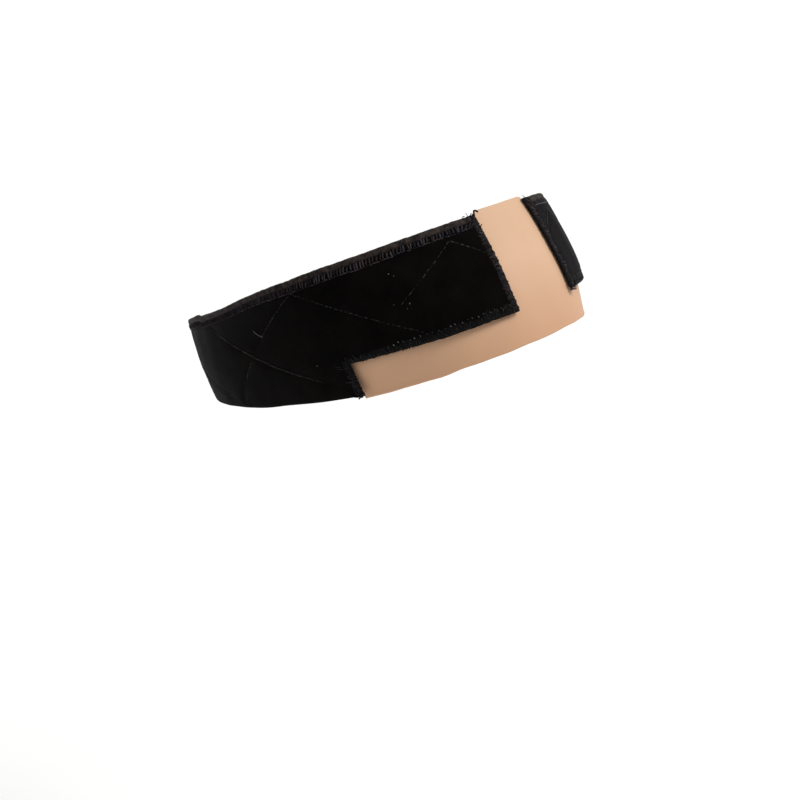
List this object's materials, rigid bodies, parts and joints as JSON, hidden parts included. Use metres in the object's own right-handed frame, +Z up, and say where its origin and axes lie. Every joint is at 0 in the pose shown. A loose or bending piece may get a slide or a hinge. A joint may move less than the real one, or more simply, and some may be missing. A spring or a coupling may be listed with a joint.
{
  "type": "wig grip band",
  "caption": "Worn head band that grips a wig: two black velvet panels with stitched edges, a skin-coloured lace panel across the brow, and a hook-and-loop overlap at the nape.",
  "frame": {"origin": "middle of the loop at mid-height of the band, where the head sits (mount head_seat)", "axes": "+Z up on the upright wearer, -Y the way the face looks, -X the wearer's right side; the loop is tilted by 27 degrees, so that the brow is higher than the nape"},
  "size_m": [0.1396, 0.2025, 0.1259],
  "materials": {
    "velvet": "short black pile velvet, quilted in wide diamonds",
    "hem": "black stretch cloth, rolled and stitched",
    "thread": "black overlock thread",
    "lace": "fine skin-coloured net",
    "hook_tape": "black hook-and-loop tape"
  },
  "bodies": {
    "root": {"velvet_panel_right": "velvet", "velvet_panel_left": "velvet", "top_hem_right": "hem", "top_hem_left": "hem", "flap_hem_right": "hem", "flap_hem_left": "hem", "front_overlock_right": "thread", "front_overlock_left": "thread", "notch_overlock_right": "thread", "notch_overlock_left": "thread", "lace_front_panel": "lace", "back_fastener": "hook_tape"}
  },
  "joints": []
}
